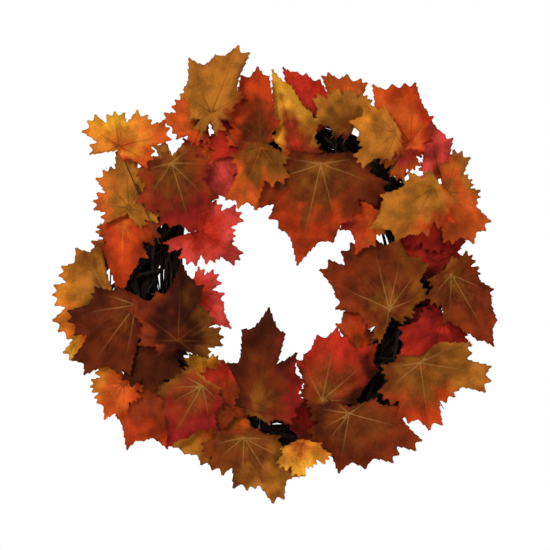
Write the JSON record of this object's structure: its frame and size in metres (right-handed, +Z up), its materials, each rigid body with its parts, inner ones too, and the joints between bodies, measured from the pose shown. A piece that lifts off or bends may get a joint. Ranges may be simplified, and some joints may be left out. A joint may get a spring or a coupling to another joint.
{
  "type": "harvest door wreath",
  "caption": "Round autumn door wreath: dark twisted vine ring, layered silk maple leaves in gold, orange, red and brown, wire hanging loop at the back.",
  "frame": {"origin": "inside top of the hanging loop, where it rests on the door's hook", "axes": "+Z up, +Y towards the door, -Y towards the viewer, +X to the viewer's right"},
  "size_m": [0.4997, 0.0945, 0.5151],
  "materials": {
    "leaf_mustard": "matte woven, soft sheen",
    "leaf_gold": "matte woven, soft sheen",
    "leaf_orange": "matte woven, soft sheen",
    "leaf_red": "matte woven, soft sheen",
    "leaf_crimson": "matte woven, soft sheen",
    "leaf_rust": "matte woven, soft sheen",
    "leaf_brown": "matte woven, soft sheen",
    "leaf_maroon": "matte woven, soft sheen",
    "vine": "rough dark bark",
    "thin_vine": "rough dark bark",
    "wire": "dull dark paint",
    "leaf_stem": "matte floral tape"
  },
  "bodies": {
    "wreath": {"binding_vines": "thin_vine", "hanger_band": "wire", "leaf_01_mustard": "leaf_mustard", "leaf_02_orange": "leaf_orange", "leaf_03_gold": "leaf_gold", "leaf_04_mustard": "leaf_mustard", "leaf_05_red": "leaf_red", "leaf_06_rust": "leaf_rust", "leaf_07_mustard": "leaf_mustard", "leaf_08_gold": "leaf_gold", "leaf_09_brown": "leaf_brown", "leaf_10_maroon": "leaf_maroon", "leaf_11_brown": "leaf_brown", "leaf_12_red": "leaf_red", "leaf_13_maroon": "leaf_maroon", "leaf_14_rust": "leaf_rust", "leaf_15_gold": "leaf_gold", "leaf_16_orange": "leaf_orange", "leaf_17_red": "leaf_red", "leaf_18_orange": "leaf_orange", "leaf_19_mustard": "leaf_mustard", "leaf_20_gold": "leaf_gold", "leaf_21_orange": "leaf_orange", "leaf_22_red": "leaf_red", "leaf_23_crimson": "leaf_crimson", "leaf_24_mustard": "leaf_mustard", "leaf_25_rust": "leaf_rust", "leaf_26_gold": "leaf_gold", "leaf_27_brown": "leaf_brown", "leaf_28_orange": "leaf_orange", "leaf_29_crimson": "leaf_crimson", "leaf_30_brown": "leaf_brown", "leaf_31_brown": "leaf_brown", "leaf_32_crimson": "leaf_crimson", "leaf_33_red": "leaf_red", "leaf_34_crimson": "leaf_crimson", "leaf_35_mustard": "leaf_mustard", "leaf_36_brown": "leaf_brown", "leaf_37_brown": "leaf_brown", "leaf_38_red": "leaf_red", "leaf_39_rust": "leaf_rust", "leaf_40_mustard": "leaf_mustard", "leaf_41_gold": "leaf_gold", "leaf_42_crimson": "leaf_crimson", "leaf_43_orange": "leaf_orange", "leaf_44_maroon": "leaf_maroon", "leaf_45_red": "leaf_red", "leaf_46_red": "leaf_red", "leaf_47_orange": "leaf_orange", "leaf_48_orange": "leaf_orange", "leaf_49_rust": "leaf_rust", "leaf_50_red": "leaf_red", "leaf_51_orange": "leaf_orange", "leaf_stems": "leaf_stem", "tie_wires": "wire", "vine_canes_a": "vine", "vine_canes_b": "vine", "vine_core": "vine", "vine_twigs": "thin_vine"},
    "hanger": {"hanging_loop": "wire"}
  },
  "joints": [
    {"name": "hanger_swing", "type": "hinge", "parent": "wreath", "child": "hanger", "pos_m": [0, 0, -0.025], "axis": [1, 0, 0], "range_deg": [-110, 60]}
  ]
}
